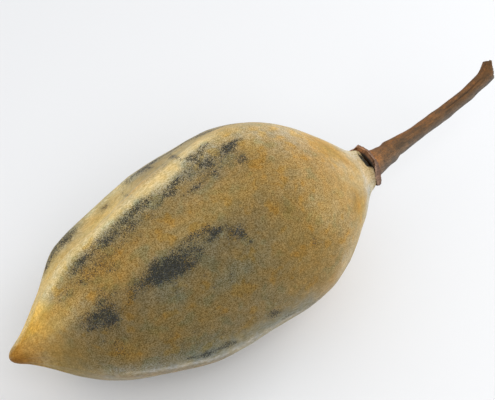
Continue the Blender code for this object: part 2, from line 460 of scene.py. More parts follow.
# %% The dabs
# Colour, distance from the tip, turn, half length, half width, slant in degrees and strength
DABS = [
    ("ivory", 61, -40.6, 44, 38, -11, 0.59), ("straw", 166.5, 28.1, 43, 38, 0, 0.66),
    ("yellow", 17.4, -13.4, 16, 44, 2, 0.73), ("ash", 71.6, 103.2, 39, 8.3, 5, 0.89),
    ("gold", 55.2, 1.2, 46, 12, 0, 0.84), ("ivory", 146, -31.7, 47, 18, 13, 0.66),
    ("straw", 178.5, 100.2, 47, 33, 32, 0.62), ("ivory", 49, -22.3, 43, 5.6, -2, 0.61),
    ("gold", 129.2, 31.6, 20, 34, 7, 0.97), ("yellow", 3.3, 93, 18, 38, -33, 0.22),
    ("cream", 155.6, -50, 48, 40, -28, 0.97), ("ivory", 23.8, -51.9, 6.9, 29, 6, 0.42),
    ("teal", 51.1, -12.8, 27, 3.6, -1, 0.43), ("tan", 85.1, -45.4, 11, 20, 22, 0.87),
    ("cream", 169.1, 62, 4, 32, 3, 0.9), ("orange", 45.9, 17.7, 46, 7, 8, 0.16),
    ("ivory", 97.9, -13.9, 26, 3.7, -1, 0.1), ("umber", 83.4, 60.1, 44, 37, -31, 0.28),
    ("orange", 4.5, 12, 10, 48, 2, 0.97), ("ivory", 6.9, -50.6, 13, 20, -5, 0.95),
    ("ash", 34.3, 103.9, 13, 15, 20, 0.46), ("orange", 145.6, 31.6, 10, 40, -14, 0.23),
    ("ivory", 180.3, -53, 14, 38, -12, 0.13), ("brown", 99.3, -0.6, 31, 5, 1, 0.48),
    ("cream", 79.2, -21.1, 9.1, 10, -3, 0.28), ("ash", 108.7, 107.2, 44, 10, -5, 0.41),
    ("ivory", 22.9, -18.4, 8.5, 2.8, 10, 0.3), ("yellow", 15.5, -10.6, 5.2, 15, 3, 0.97),
    ("teal", 38.9, -60.4, 18, 6.6, 11, 0.38), ("ivory", 132.9, 48.8, 8, 10, -39, 0.08),
    ("olive", 59.4, 34.9, 44, 8, -2, 0.68), ("yellow", 46.8, -39.5, 23, 9.1, 0, 0.55),
    ("ivory", 75.8, -14.4, 5.6, 1.8, -1, 0.36), ("ivory", 101.7, -22.7, 6, 3.5, -18, 0.9),
    ("ash", 103.7, -21.2, 11, 5.2, -32, 0.49), ("ivory", 15.1, -38.2, 46, 8.4, 1, 0.22),
    ("gold", 108, 11.6, 45, 10, 8, 0.69), ("umber", 45.1, 56.9, 44, 12, 4, 0.42),
    ("teal", 90.9, 93.3, 24, 3, -2, 0.21), ("tan", 134.2, -48.4, 30, 26, -24, 0.58),
    ("orange", 155.6, -0.7, 7.3, 14, 3, 0.75), ("orange", 45.7, 6.4, 10, 18, 3, 0.27),
    ("orange", 73.9, -24.5, 13, 4.8, 23, 0.2), ("gold", 122.9, 76.3, 18, 10, -24, 0.57),
    ("cream", 138.8, 94.8, 4.8, 7.9, 40, 0.46), ("cream", 138.2, -18.2, 3.4, 20, -6, 0.35),
    ("ivory", 57.5, -19.9, 10, 2.2, -4, 0.34), ("teal", 70.3, -7.5, 46, 3.4, -1, 0.24),
    ("umber", 118.7, 51.1, 11, 22, -20, 0.44), ("straw", 3.8, -58.4, 19, 21, -34, 0.9),
    ("cream", 29.6, 20.5, 6.7, 4.2, -22, 0.18), ("cream", 155.6, 22.6, 8.6, 7.4, -21, 0.34),
    ("orange", 14.2, -8.3, 4, 13, -22, 0.57), ("teal", 71.5, 28.5, 20, 4.8, 1, 0.39),
    ("cream", 180, 69.5, 6.5, 39, 0, 0.97), ("gold", 51.5, 102.1, 24, 5.1, 8, 0.56),
    ("ivory", 95.2, -77.1, 46, 8.9, 3, 0.17), ("ash", 23.8, -13.4, 3.1, 10, -18, 0.26),
    ("yellow", 93, 19.5, 20, 5.8, -3, 0.07), ("ash", 46.8, 92.7, 6, 1.5, 12, 0.34),
    ("ivory", 86.2, -13.6, 6.7, 3, -7, 0.27), ("ivory", 176.4, 95.8, 12, 9.2, 37, 0.97),
    ("milk", 171.5, 108, 6.5, 15, 0, 0.8), ("ivory", 84, -52, 24, 5, 0, 0.5),
    ("milk", 167.8, -12, 4.2, 17, 0, 0.8), ("milk", 166.5, 82, 5.5, 15, 0, 0.85),
    ("rust", 155.4, 0, 1.7, 12, -14.5, 0.55), ("rust", 158.9, 15, 1.7, 9, -15, 0.4),
    ("umber", 154, 60, 3.5, 9, 0, 0.55), ("straw", 132, 18.4, 6.1, 19, -6, 0.09),
    ("yellow", 39.8, -23, 45, 2.9, 1, 0.25), ("ivory", 19.2, -16.1, 4.6, 7.8, 25, 0.26),
    ("orange", 156, 66.5, 4.9, 8.1, -38, 0.65), ("olive", 34.7, 45.6, 14, 15, 29, 0.84),
    ("ash", 85.1, -51.8, 11, 10, -8, 0.54), ("gold", 117.9, 6.2, 6, 8.2, -9, 0.97),
    ("gold", 146, 31.3, 4.2, 13, 7, 0.18), ("ash", 183.4, 13.5, 8.6, 17, -3, 0.95),
    ("umber", 38.8, 71.8, 5.9, 10, -14, 0.82), ("ash", 73.1, 99.8, 10, 1.5, 6, 0.7),
    ("ash", 98.2, -4.1, 21, 7.3, -3, 0.17), ("yellow", 111.2, -24.5, 10, 6.3, 9, 0.32),
    ("yellow", 121.5, -4.2, 5.5, 4.2, -32, 0.14), ("orange", 56, -48.6, 14, 4.5, 9, 0.23),
    ("olive", 157.7, 70.1, 12, 20, -44, 0.26), ("ash", 9.6, 79, 4.1, 23, 2, 0.19),
    ("teal", 66.6, 90, 14, 6.9, 7, 0.48), ("orange", 8, 29.3, 8.5, 14, -24, 0.28),
    ("ash", 57.3, 95.9, 8.3, 1.5, 7, 0.45), ("umber", 45.4, 14.7, 10, 23, -3, 0.28),
    ("ivory", 60.1, -36.4, 7.7, 3.3, 5, 0.23), ("ash", 46, -13.3, 25, 2.7, -10, 0.09),
    ("ash", 42.1, -47, 8.9, 7.9, 15, 0.29), ("cream", 1.5, -18.2, 3.3, 15, 7, 0.37),
    ("olive", 93.7, -46.9, 14, 6.2, 1, 0.21), ("ash", 14.5, 18.3, 16, 21, 14, 0.18),
    ("orange", 129.4, 99.1, 7.5, 10, 14, 0.24), ("teal", 69.8, -14.1, 2.6, 1.5, 15, 0.74),
    ("ivory", 67.3, -16.9, 6, 1.8, 15, 0.57), ("straw", 69.6, -21, 7, 3.6, -1, 0.68),
    ("orange", 158.3, 13.6, 3.6, 9.4, -23, 0.49), ("umber", 116, 77.8, 17, 6.6, 30, 0.33),
    ("ivory", 57.1, -57.9, 3.8, 2.3, -32, 0.42), ("cream", 90.1, 86.5, 19, 15, 51, 0.05),
    ("cream", -0.7, 33.8, 1.5, 15, 0, 0.97), ("teal", 87.4, 53.2, 16, 4.7, -9, 0.32),
    ("teal", 63, 37.7, 5.1, 15, 3, 0.33), ("ivory", 103, -18.7, 10, 1.7, 2, 0.21),
    ("teal", 101.6, 98.5, 14, 2.3, 3, 0.3), ("ash", 176.8, 94, 17, 15, 7, 0.64),
    ("ivory", 174.8, -38.1, 18, 10, 1, 0.36), ("yellow", 12, -76, 9, 24, 0, 0.75),
    ("rust", 1, 20, 4.5, 60, 0, 0.45), ("rust", 1.5, 82, 7, 38, 0, 0.97),
    # The two umber dabs 177 mm from the tip are painted shade where the neck meets the calyx
    ("umber", 177.2, 16, 3.6, 26, 0, 0.6), ("umber", 177.4, 85, 2.6, 32, 0, 0.85),
    ("orange", 12, 25, 4, 8, 0, 0.2), ("tan", 155.5, 3, 7, 15, 0, 0.62), ("tan", 157, 72, 6, 9, 0, 0.7),
    ("tan", 165, 30, 4, 9, 0, 0.3), ("brown", 20, 98, 8, 10, 0, 0.35),
    ("umber", 61.5, -50, 2.6, 2.6, 0, 0.45),
]

# Colour, half width in mm and strength of each line, then its course: distance from the tip and turn
LINES = [
    ("clay", 2.8, 0.6, [(22, 101), (44, 98.5), (60, 102.5), (82, 107)]),
    ("bone", 0.9, 0.75, [(32, 91.5), (44, 92.8), (60, 96.8), (76, 100.7), (92, 101.6), (114, 104.2)]),
    (
        "butter",
        3.0,
        0.8,
        [(18, -17), (30, -19.5), (62, -20.5), (70, -18.5), (80, -15.5), (88, -16), (96, -20), (114, -21)],
    ),
]
MM_PER_DEGREE = 0.75
LINE_FADES_OVER = 8.0
MIRROR_TURN = 106.0
BACK_DRIFT = 7.0
DRIFTS_FROM = 50.0


def front_place(along, turn):
    """The place on the side that shows whose marks each place carries."""
    past = around(turn, MIRROR_TURN)
    inwards = np.minimum(past, 180.0 - past)
    drift = BACK_DRIFT * ease(inwards / DRIFTS_FROM) * np.sin(np.pi * along / POD_LENGTH)
    return along + np.where(past > 0.0, drift, 0.0), MIRROR_TURN - np.abs(past)


def dab_cover(along, turn, place, middle, half_length, half_width, slant, strength):
    """How much of each place an oval dab covers."""
    forward = along - place
    aside = MM_PER_DEGREE * (turn - middle)
    lean = math.radians(slant)
    lengthwise = (forward * math.cos(lean) + aside * math.sin(lean)) / half_length
    crosswise = (aside * math.cos(lean) - forward * math.sin(lean)) / half_width
    return strength * np.exp(-((lengthwise**2 + crosswise**2) ** 1.2))


def line_cover(along, turn, half_width, strength, course):
    """How much of each place a narrow line covers that follows its course and fades at both ends."""
    first, last = course[0][0], course[-1][0]
    ends = swell(along, first, first + LINE_FADES_OVER, last - LINE_FADES_OVER, last)
    aside = MM_PER_DEGREE * (turn - SmoothCurve(course).at(along)) / half_width
    return strength * ends * np.exp(-(aside**4))


front_along, front_turn = front_place(skin_along, skin_turn)
skin_base = np.tile(np.array(GROUND), (len(skin_along), 1))
for name, *row in DABS:
    cover = dab_cover(front_along, front_turn, *row)[:, None]
    skin_base += cover * (np.array(SKIN_COLOURS[name]) - skin_base)
rubbed = np.zeros_like(skin_along)
for name, half_width, strength, course in LINES:
    cover = line_cover(front_along, front_turn, half_width, strength, course)
    rubbed = np.maximum(rubbed, cover)
    skin_base += cover[:, None] * (np.array(SKIN_COLOURS[name]) - skin_base)
print(len(DABS), "dabs, mean colour", [round(float(value), 3) for value in skin_base.mean(axis=0)])

# %% [markdown]
# ## Soot, and the hollow's painted shade
#
# Mould has darkened the hair in patches and thin trails, most of all along the crests. They are ovals of the
# same kind, and most were fitted in the same way. They are kept as a number of their own, because the
# material breaks them up into single specks. The same number also darkens the hollow beside the calyx, as
# painted shade.

# %% Soot patches
# Distance from the tip, turn, half length, half width, slant in degrees and strength
SOOT = [
    (66.1, 30, 9, 4.1, 2, 0.89), (33.6, 35.5, 5.0, 4.8, -45, 0.5), (34.0, 33, 2.4, 1.1, 25, 0.85),
    (38, 41, 2.2, 1.0, 30, 0.5), (31, 41.5, 1.4, 1.2, 0, 0.8), (50.9, 30.5, 5, 4, 20, 0.3),
    (103.7, -16, 4, 1.3, 0, 0.25), (112, -36, 5, 1.8, 15, 0.5), (119, -34.5, 5, 1.4, 15, 0.5),
    (79, 24, 5, 2, 10, 0.55), (85.2, 25, 2, 2, 0, 0.6), (72, -11, 7, 3.5, 0, 0.12),
    (61.6, -3.9, 8.3, 3.4, -21, 0.29), (54.9, -9.6, 9, 1.5, 22, 0.42), (31.6, -3.7, 5.3, 2.1, -39, 0.15),
    (112.3, -7.5, 2.6, 2.2, 6, 0.78), (73.4, 94, 6.2, 1, 10, 0.73), (39.2, -61.2, 10, 3, -11, 0.44),
    (84.5, 30.5, 3.8, 1, 19, 0.57), (91.5, 2.5, 1.5, 3.8, 80, 0.35), (113.4, 2.1, 2.2, 3, -40, 0.56),
    (44.3, -0.2, 11, 5.4, -11, 0.34), (84.3, -48.2, 1.5, 7.6, 9, 0.22), (98.6, 32.1, 1.1, 1, -36, 0.08),
    (93.4, -30.3, 1.6, 6.1, 1, 0.6), (36.9, 64, 3.9, 8.1, -9, 0.27), (39.2, 26.9, 2.8, 13, 7, 0.34),
    (96.3, -13.5, 2.8, 1.4, 29, 0.55), (62.7, -49.1, 1, 2.5, -20, 0.33), (81.4, -4.5, 3.2, 1.5, 30, 0.6),
    (102.4, -7, 1.8, 1, 10, 0.48), (39.8, -11.3, 5.7, 1.7, 9, 0.54), (111.2, 5, 8.2, 2.2, 37, 0.16),
    (37.9, 42.3, 2.6, 1.5, -11, 0.75), (42.6, -51.2, 1.2, 3.9, 6, 0.41), (123.6, 61.8, 2.2, 2.9, -18, 0.36),
    (98.3, 90.7, 2.2, 5.1, 0, 0.28), (85.4, -7.8, 4.1, 1.4, -3, 0.62), (63, -11.4, 8.7, 1.6, 6, 0.51),
    (61.6, 32, 7.1, 2.7, 17, 0.98), (90.2, 46, 11, 4.8, 30, 0.08), (72.4, 34.9, 5.2, 1.7, 4, 0.73),
    (81.8, -50.6, 1.5, 4.1, -4, 0.49), (92.3, -20.9, 1, 3.8, -13, 0.4), (76.6, 93.1, 3.8, 1.2, 23, 0.58),
    (110.3, -7.8, 1.9, 1.1, 80, 0.56), (61.4, 25.9, 1.9, 3.8, 17, 0.74), (29.7, -59, 1, 1.9, 16, 0.92),
    (92.6, 31.7, 1, 2.7, -20, 0.51), (51.7, -8.9, 2.3, 1.6, 36, 0.69), (37.7, 46.7, 10, 2.5, 34, 0.13),
    (119, 84, 1.7, 5.7, 5, 0.18), (64.3, 81.6, 1, 2.1, -20, 0.46), (36.2, 2.9, 1.6, 4.2, -20, 0.25),
    (26, -1, 1, 3.7, 8, 0.22), (87.3, -22.6, 1, 2.6, 20, 0.4), (100.3, 3.3, 1.4, 2.3, -22, 0.51),
    (101.5, -13.9, 5.1, 1, -20, 0.45), (78.2, 31.1, 3.2, 1.4, 43, 0.53), (70.9, -10.5, 3.6, 1.3, 32, 0.44),
    (85.6, -42.5, 1, 3.3, -3, 0.63), (48.2, 8.7, 3.6, 2.7, 25, 0.38), (19.1, 93.7, 2.3, 3.9, 16, 0.2),
    (66.6, 93.1, 3.5, 2.1, -5, 0.69), (64.6, 40.8, 4.9, 1, -80, 0.45), (62.1, 3.5, 3.9, 1.8, -18, 0.22),
    (115.7, -9.5, 3.2, 1, -4, 0.63), (88.6, 3.5, 10, 7.1, -72, 0.1), (56, 63.9, 1.5, 9.3, 1, 0.13),
    (39.8, -7.9, 4.7, 1.5, -60, 0.45), (81.1, -34.5, 1, 2.4, -2, 0.33), (98.4, -8, 1.3, 2.3, -4, 0.59),
    (107, -33.6, 1, 4.4, -8, 0.23), (98.1, -43.1, 7.6, 1.5, -30, 0.18), (40.8, 30.8, 1.3, 2, -79, 0.2),
    (97.9, 42.7, 1.5, 1, -10, 0.59), (65, 72.5, 1.8, 2.2, 36, 0.21), (60.6, 91.4, 2.6, 1, 11, 0.61),
    (48.1, 87.2, 4, 1.2, 24, 0.22), (75.2, 83.5, 1, 2.6, 18, 0.26), (127.4, -25.9, 4.4, 1.2, -1, 0.3),
    (37.2, 71.4, 4.9, 1.6, 20, 0.13), (43.7, 25, 1.8, 2.7, 25, 0.31), (101, -5.6, 1.5, 1.9, 55, 0.68),
    (45.3, -53.5, 2.3, 1.8, -13, 0.3), (104.9, 68.7, 1.1, 4.8, -14, 0.18), (99.4, 0.3, 3.3, 1.1, 12, 0.34),
    (69.5, 33.8, 1.3, 2.5, 27, 0.98), (85.6, 52.8, 1, 2.8, 17, 0.35), (87.3, 28.6, 3.4, 1.5, 4, 0.97),
    (36.1, -8.7, 2.5, 1.8, 14, 0.48), (61.2, -48.9, 1.6, 3.1, -29, 0.41), (37.5, 26, 1.8, 1.4, -4, 0.44),
    (39.3, 37.4, 1.4, 4.6, -22, 0.7), (96.9, -14.5, 1, 1.6, 16, 0.31), (76.3, -4.8, 1.6, 2.4, 73, 0.31),
    (88.5, -30.3, 1, 1.6, 1, 0.43), (127.5, 65.4, 1, 2.3, -33, 0.25), (75.3, -47.5, 1, 2, -5, 0.18),
    (104.6, 94.4, 4.1, 1, 1, 0.15), (71.2, -1.7, 4.5, 4, 13, 0.23), (62.9, -7.2, 1, 2.2, -13, 0.65),
    (18.7, 70.5, 1, 3.4, -15, 0.2), (89.5, 1.2, 5.4, 1, 0, 0.33), (77.7, 52.3, 1.4, 1, 38, 0.39),
    (48.3, 34.8, 4.8, 1.4, -23, 0.27), (109.9, 31, 1, 2.1, 1, 0.19), (95.9, 36.8, 1.8, 2.9, -22, 0.78),
    (40.9, -56.4, 2, 1.7, -34, 0.42), (32.5, 55.5, 1, 1, 20, 0.39), (69.1, -29.7, 1, 6.6, 3, 0.19),
    (76.3, 44.1, 1.3, 1, 53, 0.39), (143.4, 44.5, 1.4, 2.8, 1, 0.13), (88, -51, 9, 2.6, 8, 0.6),
    (104, -47, 9, 2.8, 8, 0.7), (119, -45, 9, 2.8, 8, 0.8), (52, -11, 20, 3.3, -1, 0.3),
    (88, -7, 17, 3.6, -4, 0.2), (66, 28, 12, 4, 4, 0.5), (38, 38, 6, 6, 0, 0.45), (104, -4, 12, 6, 0, 0.28),
    (98, -14, 6, 2, 0, 0.25), (113, -8, 6, 2, -10, 0.45), (37, -56, 10, 4.5, 0, 0.4),
    (84, -50, 15, 5, -8, 0.26), (111, -39, 8, 4, 20, 0.45), (126, -36, 8, 3, 25, 0.4),
    (69.5, -31, 0.9, 10, 3, 0.42), (94, -29, 1, 9, 8, 0.42), (29, 2, 4, 6, 0, 0.25),
    (30, 30, 5, 6, 0, 0.22), (94, 35, 6, 3, -12, 0.35), (30, -58, 2.5, 3, 0, 0.45),
    (43, -56, 6, 2.5, -6, 0.5), (76, -52, 4, 2, 0, 0.5), (87, -49, 5, 2.5, -10, 0.55),
    (98, -48, 3, 2, 0, 0.55), (111, -39, 6, 2, 20, 0.5), (124.5, -37, 2.5, 1.6, 0, 0.4),
    (99, 91.5, 4.5, 2, 10, 0.5), (105, 100.5, 4, 1.4, 0, 0.45), (119, 103.5, 5, 1.2, 0, 0.5),
]

# How dark the hollow's painted shade gets, and the shares of its depth between which it darkens
HOLLOW_SHADE = 0.97
HOLLOW_DARKENS = (0.25, 0.8056)

skin_unsooted_unshaded = np.ones_like(skin_along)
for row in SOOT:
    skin_unsooted_unshaded *= 1.0 - dab_cover(front_along, front_turn, *row)
in_hollow = hollow_share(skin_along, skin_turn, plain_points)
# Painted shade: the hollow beside the calyx is darkened in the same number as the soot
skin_unsooted_unshaded *= 1.0 - HOLLOW_SHADE * fade(in_hollow, *HOLLOW_DARKENS)

# The hair lies flat at the tip and the neck, which fade by distance, and beyond the crest and low on the
# flank, which fade by turn
tip_end = fade(skin_along, 28.0, 14.0)
neck_end = fade(skin_along, 140.0, 170.0)
far_side = 0.75 * fade(front_turn, -20.0, -30.0)
low_side = 0.8 * fade(front_turn, 86.0, 96.0)
skin_marks = {
    "soot_and_hollow_shade": 1.0 - skin_unsooted_unshaded,
    "sleek": np.max([tip_end, neck_end, far_side, low_side, rubbed], axis=0),
}


def store(mesh, name, kind, key, values):
    """Store a value of one kind for each vertex in the mesh."""
    layer = mesh.attributes.new(name, kind, "POINT")
    layer.data.foreach_set(key, values.astype(np.float32).ravel())


def add_marks(mesh, marks):
    """Store each array of marks in the mesh, one number for each vertex."""
    for name, values in marks.items():
        store(mesh, name, "FLOAT", "value", values)


add_marks(skin_mesh, skin_marks)
store(skin_mesh, "base", "FLOAT_COLOR", "color", np.insert(skin_base, 3, 1.0, axis=1))
for name, values in skin_marks.items():
    print(f"{name}: {float(values.mean()):.3f} on average")

# %% [markdown]
# ## Small helpers for materials
#
# A material is a network of nodes, and built in code it reads best as a row of short steps. Each helper here
# adds one node, sets or links what goes in, and hands back the socket that comes out. Everything is measured
# in millimetres, so the size of a grain in the code is its size on the pod.

# %% One node at a time
def add_node(tree, kind, inputs, **settings):
    """Add a shader node, choose its settings, and set or link its inputs by name or number."""
    made = tree.nodes.new("ShaderNode" + kind)
    for name, value in settings.items():
        setattr(made, name, value)
    for name, value in inputs.items():
        if isinstance(value, bpy.types.NodeSocket):
            tree.links.new(value, made.inputs[name])
        else:
            made.inputs[name].default_value = value
    return made


def maths(tree, operation, first, second=0.0):
    """One sum on two numbers."""
    return add_node(tree, "Math", {0: first, 1: second}, operation=operation).outputs[0]


def mix_colours(tree, share, first, second, blend_type="MIX"):
    """The first colour where the share is 0, the second where it is 1."""
    inputs = {0: share, 6: first, 7: second}
    return add_node(tree, "Mix", inputs, data_type="RGBA", blend_type=blend_type).outputs[2]


def multiply_between(tree, share, colour, low, high):
    """The colour times low where the share is 0, and times high where it is 1."""
    return mix_colours(tree, 1.0, colour, mix_colours(tree, share, low, high), "MULTIPLY")


def lay_over(tree, base, colour, share, most):
    """The base with a colour over it as far as the share says, up to the most."""
    return mix_colours(tree, maths(tree, "MULTIPLY", share, most), base, colour)


def soft_step(tree, value, low, high, most=1.0):
    """0 below low, the most above high, and a soft rise between."""
    inputs = {"Value": value, "From Min": low, "From Max": high, "To Min": 0.0, "To Max": most}
    return add_node(tree, "MapRange", inputs, interpolation_type="SMOOTHSTEP").outputs[0]


def mark(tree, name, output="Fac"):
    """The mesh's attribute of that name, as a number, a colour or a vector."""
    return add_node(tree, "Attribute", {}, attribute_name=name).outputs[output]


def millimetres(tree):
    """The place on the piece, in millimetres."""
    place = add_node(tree, "TexCoord", {}).outputs["Object"]
    return add_node(tree, "VectorMath", {0: place, "Scale": 1.0 / MM}, operation="SCALE").outputs[0]


def rgb(red, green, blue):
    """A colour with full opacity."""
    return (red, green, blue, 1.0)


def new_material(name):
    """A material with its Principled shader and its node tree."""
    material = bpy.data.materials.new(name)
    material.use_nodes = True
    tree = material.node_tree
    return material, tree, tree.nodes["Principled BSDF"]


def set_touch(shader, roughness, specular):
    """How rough the surface is, and how much it mirrors."""
    shader.inputs["Roughness"].default_value = roughness
    shader.inputs["Specular IOR Level"].default_value = specular


def set_surface(tree, shader, colour, height, strength, distance):
    """Link a colour, and a bump of this strength and of this height in millimetres."""
    tree.links.new(colour, shader.inputs["Base Color"])
    inputs = {"Height": height, "Strength": strength, "Distance": distance * MM}
    tree.links.new(add_node(tree, "Bump", inputs).outputs[0], shader.inputs["Normal"])


# %% [markdown]
# ## Effects that the materials share
#
# Three effects return on every piece of the pod: fibres that run one way, colours that shift like clouds, and
# dark specks that thicken into patches. Each could be made anew in each material, but then one change would
# have to be made three times. A node group is made once, with names on what goes in and what comes out, and
# every material places it with its own values.

# %% A node group with named sockets
SOCKET_KINDS = {"place": "NodeSocketVector", "number": "NodeSocketFloat", "colour": "NodeSocketColor"}


def new_group(name, inputs, output, kind):
    """An empty node group, what comes in by name, and the node that takes its one output."""
    group = bpy.data.node_groups.new(name, "ShaderNodeTree")
    for label, sort in inputs.items():
        group.interface.new_socket(name=label, in_out="INPUT", socket_type=SOCKET_KINDS[sort])
    group.interface.new_socket(name=output, in_out="OUTPUT", socket_type=SOCKET_KINDS[kind])
    entry = group.nodes.new("NodeGroupInput")
    way_out = group.nodes.new("NodeGroupOutput")
    return group, {label: entry.outputs[label] for label in inputs}, way_out


def place_group(tree, group, inputs):
    """The group in a material, with its own values."""
    return add_node(tree, "Group", inputs, node_tree=group).outputs[0]


# %% Fibres: noise drawn out along the first axis
fibres, sent, way_out = new_group(
    "fibres", {"Place": "place", "Width": "number", "Length": "number"}, "Tone", "number"
)
size = add_node(fibres, "CombineXYZ", {0: sent["Length"], 1: sent["Width"], 2: sent["Width"]}).outputs[0]
drawn = add_node(fibres, "VectorMath", {0: sent["Place"], 1: size}, operation="DIVIDE").outputs[0]
fibre_noise = add_node(fibres, "TexNoise", {"Vector": drawn, "Scale": 1.0, "Detail": 2.0})
fibres.links.new(fibre_noise.outputs["Fac"], way_out.inputs["Tone"])


def fibre_tone(tree, place, width, length):
    """Fibres of this width and length in millimetres, from 0 to 1."""
    return place_group(tree, fibres, {"Place": place, "Width": width, "Length": length})


print("fibres:", len(fibres.nodes), "nodes")

# %% Clouds: a colour that shifts from one tint to another
clouds, sent, way_out = new_group(
    "clouds",
    {"Place": "place", "Size": "number", "Colour": "colour", "Low Tint": "colour", "High Tint": "colour"},
    "Colour",
    "colour",
)
lumps = fibre_tone(clouds, sent["Place"], sent["Size"], sent["Size"])
share = soft_step(clouds, lumps, 0.32, 0.68)
clouded = multiply_between(clouds, share, sent["Colour"], sent["Low Tint"], sent["High Tint"])
clouds.links.new(clouded, way_out.inputs["Colour"])


def cloud_over(tree, place, size, colour, low, high):
    """The colour, clouded from a low tint to a high tint in lumps of this size in millimetres."""
    inputs = {"Place": place, "Size": size, "Colour": colour, "Low Tint": low, "High Tint": high}
    return place_group(tree, clouds, inputs)


print("clouds:", len(clouds.nodes), "nodes")

# %% Specks: a dark pepper that thickens into patches
# How much wider the clumps are than the pepper, how much each counts, and the middle of their sum
CLUMP_SIZE = 3.6
PEPPER_SHARE = 3.1
CLUMP_SHARE = 0.9
SPREAD_MIDDLE = 2.02

specks, sent, way_out = new_group(
    "specks", {"Place": "place", "Fineness": "number", "Amount": "number"}, "Cover", "number"
)
wide = maths(specks, "MULTIPLY", sent["Fineness"], CLUMP_SIZE)
pepper = fibre_tone(specks, sent["Place"], sent["Fineness"], sent["Fineness"])
pepper = maths(specks, "MULTIPLY", pepper, PEPPER_SHARE)
clumps = maths(specks, "MULTIPLY", fibre_tone(specks, sent["Place"], wide, wide), CLUMP_SHARE)
spread = maths(specks, "ADD", pepper, clumps)
reached = maths(specks, "ADD", sent["Amount"], maths(specks, "SUBTRACT", spread, SPREAD_MIDDLE))
allowed = soft_step(specks, sent["Amount"], 0.05, 0.3)
cover = maths(specks, "MULTIPLY", soft_step(specks, reached, 0.25, 0.75, 0.96), allowed)
specks.links.new(cover, way_out.inputs["Cover"])
print("specks:", len(specks.nodes), "nodes")

# %% [markdown]
# ## The velvet skin
#
# The hair is what gives this pod its look: cream tips over a dark woody ground, so it sparkles like salt and
# pepper up close. Under it lie the broad colours, olive on the flanks and gold on the shoulder, with the
# soot and the hollow's painted shade on them. Real strands would cost millions of faces, so fine noise stands
# for them in the colour and in the bump, and the shader's own sheen gives the pale glow of velvet at the
# edges. Where the pod was rubbed or its hair lies flat, at the tip, the neck and the crests, the hair is
# longer, straighter and calmer.

# %% Cloudy colours: warmer and cooler, darker and paler, amber and grey
# The soot's colour, also used for painted shade in the hollow and deep inside the calyx
SOOT_AND_SHADE_DARK = rgb(0.029, 0.030, 0.027)
PLAIN = rgb(1.0, 1.0, 1.0)
SKIN_CLOUDS = [
    (5.5, rgb(1.04, 0.99, 0.86), rgb(0.97, 1.01, 1.08)),
    (4.0, rgb(0.92, 0.94, 0.96), rgb(1.08, 1.06, 1.04)),
]
PATCH_SIZE = 6.5
AMBER_TINT = rgb(1.14, 0.97, 0.56)
GREY_TINT = rgb(0.84, 0.96, 1.02)

pod_material, tree, shader = new_material("pod_velvet")
place = millimetres(tree)
base = mark(tree, "base", "Color")
for size, low, high in SKIN_CLOUDS:
    base = cloud_over(tree, place, size, base, low, high)
patches = fibre_tone(tree, place, PATCH_SIZE, PATCH_SIZE)
plush = maths(tree, "SUBTRACT", 1.0, mark(tree, "sleek"))
amber = maths(tree, "MULTIPLY", soft_step(tree, patches, 0.55, 0.68, 0.8), plush)
base = multiply_between(tree, amber, base, PLAIN, AMBER_TINT)
greyed = maths(tree, "MULTIPLY", soft_step(tree, patches, 0.45, 0.33, 0.8), plush)
base = multiply_between(tree, greyed, base, PLAIN, GREY_TINT)

# %% Soot and the hollow's painted shade over the colours, hair over them
DARK_GAPS = rgb(0.58, 0.52, 0.32)
PALE_TIPS = rgb(1.40, 1.46, 1.68)

# Width and length of a tuft in mm, where the hair stands up and where it lies flat
SHORT_HAIR = (0.42, 0.5)
LONG_HAIR = (0.6, 1.8)

sooted_and_shaded = place_group(tree, specks, {"Place": place, "Fineness": 0.36, "Amount": mark(tree, "soot_and_hollow_shade")})
base = mix_colours(tree, sooted_and_shaded, base, SOOT_AND_SHADE_DARK)
plush_tone = soft_step(tree, fibre_tone(tree, place, *SHORT_HAIR), 0.30, 0.70)
sleek_tone = soft_step(tree, fibre_tone(tree, place, *LONG_HAIR), 0.05, 0.95)
hair_tone = add_node(tree, "Mix", {0: mark(tree, "sleek"), 2: plush_tone, 3: sleek_tone}).outputs[0]
skin_colour = multiply_between(tree, hair_tone, base, DARK_GAPS, PALE_TIPS)
skin_colour = cloud_over(tree, place, 1.7, skin_colour, rgb(0.93, 0.92, 0.88), rgb(1.07, 1.08, 1.12))

# %% Touch: rough, softly lit and velvety
set_surface(tree, shader, skin_colour, hair_tone, 0.3, 0.1)
set_touch(shader, 0.9, 0.15)
shader.inputs["Sheen Weight"].default_value = 0.15
shader.inputs["Sheen Roughness"].default_value = 0.4
shader.inputs["Sheen Tint"].default_value = rgb(0.95, 0.88, 0.72)

# %% Make the pod's object
def make_piece(name, mesh, material, node):
    """An object at the origin that rides on the root body and stands for one CAD node."""
    mesh.materials.append(material)
    mesh.shade_smooth()
    piece = bpy.data.objects.new(name, mesh)
    bpy.context.scene.collection.objects.link(piece)
    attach(piece, "root")
    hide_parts(node)
    print(name, "made,", len(material.node_tree.nodes), "nodes in its material")


make_piece("pod_skin", skin_mesh, pod_material, "pod")

# %% [markdown]
# ## The calyx
#
# The calyx is what is left of the flower: a thin, dry collar round the stalk's base. Its face leans out from
# the stalk, its rim turns back over the neck like a hem, and one torn tip points back further. It could be
# cut from a sheet and bent, but a thin section spun right round keeps its wall the same all round. Each point
# of the section also carries how freely it moves and how much it belongs to the hem, so one array of moves
# can lean, wave and fray the rim and leave the root in its place.

# %% Spin the calyx
STALK_BASE = Vector((179.8, 0.0, 0.1))

